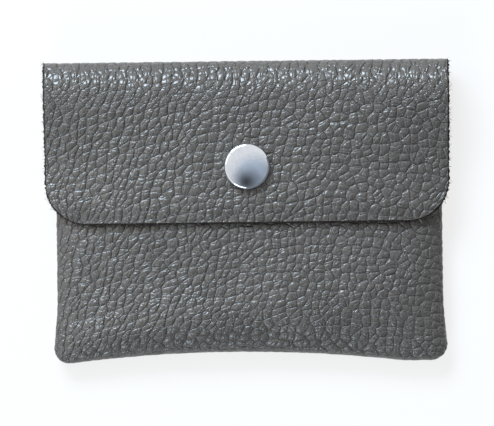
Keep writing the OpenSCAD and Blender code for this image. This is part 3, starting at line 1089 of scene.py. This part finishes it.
def make_back():
    """The back with the fold's back half, and the size that it was cut to."""
    work = Patchwork()
    arc_len = fold_r * math.pi / 2

    def edge_height(in_from_edge):
        return mix(seam_z, 0, roll(1 - in_from_edge / back_roll))

    def side(x):
        return edge_height(half_pouch - x)

    def base(down):
        return edge_height(-down - base_y)

    def layer(column_count, row_count, arc_count, depth):
        x, a = mirrored(*even_half(side, 0, half_pouch, column_count // 2))
        down, run = even_half(base, -fold_y, -base_y, row_count - arc_count)
        pouch_across, pouch_along = np.meshgrid(x, -down[::-1])
        pouch = back_face(pouch_across, pouch_along, depth > 0)
        straight = np.linspace(-half_flap, half_flap, column_count + 1)
        rolled = rolled_at(pouch_along)
        even = np.broadcast_to(straight, rolled.shape)
        pouch[..., 0] = mix(even, pouch[..., 0], rolled)
        hide_a, hide_s = np.meshgrid(a, run[::-1] + arc_len)
        hide_a, taut = mix(even, hide_a, rolled), taut_at(fold_y - pouch_along)
        hide_pouch = np.stack([hide_a, hide_s, taut], -1)
        fold_across, fold_run = np.meshgrid(straight, np.linspace(0, arc_len, arc_count + 1)[1:])
        fold = fold_face(fold_across, fold_run / fold_r, depth)
        hide_fold = np.stack([fold_across, arc_len - fold_run, np.ones_like(fold_run)], -1)
        return (np.concatenate([pouch, fold]), np.concatenate([hide_pouch, hide_fold]),
                np.concatenate([pouch_across, fold_across]),
                np.concatenate([pouch_along, np.full_like(fold_run, fold_y)]), run[-1] + arc_len)

    outer, hide, across, along, length = layer(columns, back_rows, arc_rows, 0)
    flesh_side = layer(columns // 2, back_rows // 2, arc_rows // 2, leather_t)[:2]
    numbers, over = work.two_sides((outer, hide), flesh_side, down=True)
    line, normal = rim(outer), rim(grid_normals(outer))
    outward = outward_from(line, normal)
    is_sewn = (rolled_at(rim(along)) > 0.999)[:, None]
    rings = []
    for (inset, z), depth in zip(tucks, raw_depths):
        tucked = pouch_rim(rim(across), rim(along), inset, seam_z - z)
        raw = line + outward * edge_bevel + normal * depth
        rings.append(work.lay(np.where(is_sewn, tucked, raw), rim(hide)))
    rows = [rim(numbers), *rings, rim(over)]
    for lower, upper, finish in zip(rows, rings, tuck_finishes):
        work.band(upper, lower, finish)
    rows = [row[::-1] for row in rows]
    work.taper(rows[-2], rows[-1], FLESH)
    ends = work.close_ends(rows, CUT)
    work.taper(numbers[-1], over[-1], CUT)
    size = 2 * (hide_half(hide) + allowance_w), length + allowance_w
    join = [numbers[-1], over[-1]] + ends
    return work.build("leather_back", leather_materials, join), size


# %% [markdown]
# ## Building the leather
#
# All three pieces are built smooth. Then one graph raises the grain on each, so that the pebbles
# agree where two pieces meet.

# %% Build the leather
leather_back, back_size = make_back()
leather_flap, flap_size, edge_fibres = make_flap()
edge_fibres.data.materials.append(fibre_finish())
leather_front, front_size = make_front()
grain_tree = relief_tree()
for piece in (leather_back, leather_flap, leather_front):
    raise_grain(piece, grain_tree)
    print(piece.name, len(piece.data.polygons), "faces")

# %% [markdown]
# ## The cap of the press stud
#
# The cap is drawn from thin sheet: a shallow dome, then a tight shoulder that turns down
# and tucks under. Its polish shows every facet, so it is turned here with far more steps than
# the frame's cap has. It could be a Screw modifier, but two lines of numpy do the same.

# %% The cap
cap_r = (cap_high[0] - cap_low[0]) / 2
cap_h = cap_high[2] - cap_low[2]
sheet_t = 0.4
shoulder_r = 0.85
shoulder_z = shoulder_r * 0.98
shoulder_from, shoulder_to = 0.33, math.pi / 2 + 0.5


def dome_profile(inset):
    """Radius and height from the top of the cap down to its foot, for the sheet's outer face or,
    with an inset, for its inner face."""
    shoulder = np.linspace(shoulder_from, shoulder_to, 28)
    r = cap_r - shoulder_r + (shoulder_r - inset) * np.sin(shoulder)
    z = shoulder_z + (shoulder_r - inset) * np.cos(shoulder)
    edge_r, edge_z = r[0], z[0]
    top_z = cap_h - inset
    dome_r = (edge_r**2 + (top_z - edge_z) ** 2) / (2 * (top_z - edge_z))
    dome = np.linspace(0, 1, 60)[:-1] ** 0.8 * math.asin(edge_r / dome_r)
    return (np.concatenate([dome_r * np.sin(dome), r]),
            np.concatenate([top_z - dome_r * (1 - np.cos(dome)), z]))


def turned(name, radius, height, centre, steps=180):
    """A closed piece turned from a profile that starts and ends on the axis."""
    angle = np.linspace(0, 2 * math.pi, steps, endpoint=False)
    ring = np.stack([np.cos(angle), np.sin(angle), 0 * angle], -1)
    axis = np.stack([0 * height, 0 * height, height], -1)
    body = radius[1:-1, None, None] * ring + axis[1:-1, None]
    points = np.concatenate([(body + centre).reshape(-1, 3), axis[[0, -1]] + centre]) * MM
    number = np.arange(len(body) * steps).reshape(len(body), steps)
    after = np.roll(number, -1, axis=1)
    quads = np.stack([number[:-1], number[1:], after[1:], after[:-1]], -1).reshape(-1, 4)
    first, last = len(points) - 2, len(points) - 1
    faces = quads.tolist()
    faces += [(first, a, b) for a, b in zip(number[0].tolist(), after[0].tolist())]
    faces += [(last, b, a) for a, b in zip(number[-1].tolist(), after[-1].tolist())]
    piece = mesh_object(name, points.tolist(), faces)
    piece.data.shade_smooth()
    return piece


outside, inside = dome_profile(0), dome_profile(sheet_t)
cap_radius = np.concatenate([outside[0], inside[0][::-1]])
cap_height = np.maximum(np.concatenate([outside[1], inside[1][::-1]]), 0.0)
cap_radius[0] = cap_radius[-1] = 0
cap_place = np.array([0, stud_y, cap_seat_z])
polished_cap = turned("polished_cap", cap_radius, cap_height, cap_place)
print("cap", round(2 * cap_r, 2), "mm wide,", len(polished_cap.data.polygons), "faces")

# %% [markdown]
# ## Metal, thread and suede
#
# The small parts keep the frame's own shapes. The cap is plated and polished, so it needs a
# low roughness with smudges in it. The parts that nobody polishes are duller. The thread is
# waxed polyester, whose plies show as a fine ripple.

# %% Small parts
def plated(name, bright, dull, smooth, rough, scratch):
    """Plated metal that is duller and rougher where smudges and scratches mark it."""
    material, tree = new_material(name)
    place = object_place(tree)
    smudge = place.noise(0.35, 3.0)
    streak = place.vector("MULTIPLY", (0.5, 6.0, 3.0)).noise(1.1, 4.0)
    mark = smudge.step(0.42, 0.70) * 0.6 + streak.step(0.55, 0.80) * 0.4
    principled(tree, {
        "Base Color": mark.colours(bright, dull),
        "Metallic": 1.0,
        "Roughness": mark.to(smooth, rough),
        "Normal": bumped(streak * scratch),
    })
    return material


def waxed_thread():
    material, tree = new_material("waxed_thread")
    place = object_place(tree)
    sockets = {"Vector": place, "Scale": 1.1, "Distortion": 0.6, "Detail": 1.0}
    ply = add_node(tree, "ShaderNodeTexWave", {"bands_direction": "DIAGONAL"}, sockets)
    fuzz = place.noise(9.0, 3.0)
    tone = ply * 0.6 + fuzz * 0.4
    principled(tree, {
        "Base Color": tone.colours(colour(0.035, 0.033, 0.032), colour(0.105, 0.100, 0.096)),
        "Roughness": fuzz.to(0.45, 0.7),
        "Specular IOR Level": 0.35,
        "Normal": bumped(ply * 0.06 + fuzz * 0.03),
    })
    return material


def suede():
    material, tree = new_material("suede_patch")
    nap = object_place(tree).noise(2.6, 6.0, 0.7)
    tone = nap.step(0.3, 0.7)
    principled(tree, {
        "Base Color": tone.colours(colour(0.085, 0.075, 0.068), colour(0.17, 0.155, 0.14)),
        "Roughness": 0.95,
        "Specular IOR Level": 0.15,
        "Normal": bumped(nap * 0.12),
    })
    return material


polished = plated(
    "polished_plate", colour(0.70, 0.73, 0.78), colour(0.60, 0.62, 0.66), 0.05, 0.14, 0.002)
satin = plated("satin_plate", colour(0.66, 0.65, 0.63), colour(0.48, 0.46, 0.43), 0.20, 0.38, 0.006)
wire = plated("spring_wire", colour(0.52, 0.50, 0.47), colour(0.36, 0.34, 0.31), 0.22, 0.40, 0.004)
finishes = {
    "snap_cap": polished, "polished_cap": polished,
    "cap_post": satin, "snap_socket": satin, "snap_stud": satin, "stud_post": satin,
    "socket_spring": wire, "needle_thread": waxed_thread(), "bobbin_thread": waxed_thread(),
    "stud_patch": suede(),
}
polished_cap.data.materials.append(polished)
for node, finish in finishes.items():
    for slot in bpy.data.objects[node].material_slots:
        slot.material = finish
print("finished", len(finishes), "small parts")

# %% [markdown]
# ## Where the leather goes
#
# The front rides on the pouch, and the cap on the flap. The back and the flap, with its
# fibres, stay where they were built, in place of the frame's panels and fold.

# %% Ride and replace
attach(leather_front, "pouch")
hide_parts("front_panel")

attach(polished_cap, "flap")
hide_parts("snap_cap")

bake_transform(leather_back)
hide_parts("back_panel")
for piece in (leather_flap, edge_fibres):
    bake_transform(piece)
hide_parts("flap_panel", "top_fold")

# %% Sheet sizes
[side * MM for side in back_size]
[side * MM for side in flap_size]
[side * MM for side in front_size]
for name, size in (("back", back_size), ("flap", flap_size), ("front", front_size)):
    print("cut size of the", name, np.round(size, 1), "mm")

# %% [markdown]
# ## Floor and room
#
# The photograph is cut out on white. The floor and the room glow white for what the camera sees,
# straight or in a mirror. For all other rays they are plain and dim, so that they add no light
# to the purse, and the floor keeps its shadow.

# %% Floor and room
room_light = 0.19
floor_glow = 0.8
floor_half = 1.5
# Just under the purse, so that the two never meet
floor_z = -0.0003


def in_view(tree):
    """1 on the rays that the camera sees by, also in a mirror or through glass, and 0 on others."""
    path = add_node(tree, "ShaderNodeLightPath")
    seen = path.out("Is Glossy Ray").math("MAXIMUM", path.out("Is Transmission Ray"))
    return seen.math("MAXIMUM", path.out("Is Camera Ray"))


def white_floor():
    material, tree = new_material("white_floor")
    matt = add_node(tree, "ShaderNodeBsdfDiffuse", {}, {"Color": colour(0.9, 0.9, 0.9)})
    glow = add_node(tree, "ShaderNodeEmission", {}, {"Color": colour(1, 1, 1), "Strength": 1.0})
    sockets = {0: in_view(tree) * floor_glow, 1: matt, 2: glow}
    surface = add_node(tree, "ShaderNodeMixShader", {}, sockets)
    add_node(tree, "ShaderNodeOutputMaterial", {}, {"Surface": surface})
    return material


def level_square(name, half, material):
    points = [(-half, -half, 0), (half, -half, 0), (half, half, 0), (-half, half, 0)]
    item = mesh_object(name, points, [(0, 1, 2, 3)])
    item.data.materials.append(material)
    return item


def background(tree, tint, strength):
    return add_node(tree, "ShaderNodeBackground", {}, {"Color": tint, "Strength": strength})


floor = level_square("floor", floor_half, white_floor())
floor.location.z = floor_z

world = bpy.data.worlds.new("studio")
bpy.context.scene.world = world
world.use_nodes = True
room = world.node_tree
room.nodes.clear()
dim = background(room, colour(1.0, 0.95, 0.88), room_light)
white = background(room, colour(1, 1, 1), 1.0)
shown = add_node(room, "ShaderNodeMixShader", {}, {0: in_view(room), 1: dim, 2: white})
add_node(room, "ShaderNodeOutputWorld", {}, {"Surface": shown})
print("floor", 2 * floor_half, "m wide, room light", room_light)

# %% [markdown]
# ## Lights
#
# A cool window behind the fold puts the sheen on the top of the purse. A weaker one beyond the
# base lights the front's lower slopes, and a small warm lamp at the left lifts the pebbles.

# %% Lights
def area_light(name, place, size, power, tint):
    """A soft rectangular light that faces the purse."""
    lamp = bpy.data.lights.new(name, "AREA")
    lamp.shape = "RECTANGLE"
    lamp.size, lamp.size_y = size
    lamp.energy = power
    lamp.color = tint
    light = add_object(name, lamp)
    light.location = place
    light.rotation_euler = (-Vector(place)).to_track_quat("-Z", "Y").to_euler()
    print(name, power, "W,", round(light.location.length, 2), "m away")


daylight = (0.70, 0.85, 1.0)
area_light("window", (-0.34, 0.74, 0.63), (0.60, 0.36), 15.4, daylight)
area_light("far_window", (-0.30, -0.78, 0.46), (0.50, 0.30), 4.0, daylight)
area_light("lamp", (-0.70, 0.30, 0.70), (0.40, 0.40), 1.8, (1.0, 0.96, 0.91))

# %% [markdown]
# ## Card and flag
#
# A grey card hangs over the purse. It keeps the pale ceiling out of the leather's flat parts. Its
# soft dark spot gives the polished cap something to show its curve by. A curved grey flag stands
# round the base and the right, and keeps the white room out of the slopes that face it. Only
# shiny surfaces show either.

# %% The card
def card_finish():
    """Grey felt, darker at one spot, that thins out to nothing at the card's rim."""
    material, tree = new_material("grey_card")
    place = add_node(tree, "ShaderNodeTexCoord").out("Object").vector("MULTIPLY", (1, 1, 0))
    from_middle = place.vector("LENGTH").out("Value")
    from_spot = place.vector("ADD", (0.28, 0.02, 0)).vector("LENGTH").out("Value")
    shade = from_spot.step(-0.05, 0.62).colours(colour(0.10, 0.09, 0.09), colour(0.72, 0.76, 0.82))
    felt = add_node(tree, "ShaderNodeBsdfDiffuse", {}, {"Color": shade})
    clear = add_node(tree, "ShaderNodeBsdfTransparent")
    sockets = {0: from_middle.step(0.40, 1.0), 1: felt, 2: clear}
    surface = add_node(tree, "ShaderNodeMixShader", {}, sockets)
    add_node(tree, "ShaderNodeOutputMaterial", {}, {"Surface": surface})
    return material


card = level_square("card", 1, card_finish())
card.location = (0.25, -0.40, 1.25)
card.scale = (0.95, 0.95, 1)

# %% The flag
flag_r = 1.3
flag_low, flag_high = 0.02, 1.6
flag_steps = 30


def flag_finish():
    material, tree = new_material("grey_flag")
    felt = add_node(tree, "ShaderNodeBsdfDiffuse", {}, {"Color": colour(0.32, 0.32, 0.33)})
    add_node(tree, "ShaderNodeOutputMaterial", {}, {"Surface": felt})
    return material


flag_turn = np.radians(np.linspace(-125, 25, flag_steps + 1))
flag_points = [(flag_r * math.cos(t), flag_r * math.sin(t), z)
               for z in (flag_low, flag_high) for t in flag_turn]
over = flag_steps + 1
flag_faces = [(k, k + 1, over + k + 1, over + k) for k in range(flag_steps)]
flag = mesh_object("flag", flag_points, flag_faces)
flag.data.materials.append(flag_finish())
for screen in (card, flag):
    screen.visible_camera = False
    screen.visible_diffuse = False
    screen.visible_shadow = False
print("card and flag stand", card.location.z, "m over the floor and", flag_r, "m round the purse")

# %% [markdown]
# ## The camera
#
# The photograph is taken from straight above. The lens is long, so that near and far parts keep
# the same scale. The camera's place follows from how many pixels a millimetre takes in the
# photograph, and from where the top of the fold lies in it.

# %% The camera
photo_px = (494, 426)
px_per_mm = 3.657
top_fold_px = (247.5, 60.0)
lens_mm = 300.0
sensor_mm = 36.0
roll_deg = 0.7
sharp_z = 12.0

view_w = photo_px[0] / px_per_mm
rise = view_w * lens_mm / sensor_mm
camera = add_object("camera", bpy.data.cameras.new("camera"))
camera.data.lens = lens_mm
camera.data.sensor_width = sensor_mm
camera.data.clip_end = 10
off_x = (photo_px[0] / 2 - top_fold_px[0]) / px_per_mm
off_y = top_y - (photo_px[1] / 2 - top_fold_px[1]) / px_per_mm
camera.location = (off_x * MM, off_y * MM, (rise + sharp_z) * MM)
camera.rotation_euler = (0, 0, -math.radians(roll_deg))
bpy.context.scene.camera = camera
bpy.context.scene.view_settings.view_transform = "Standard"
print("camera", round(rise), "mm above the purse")
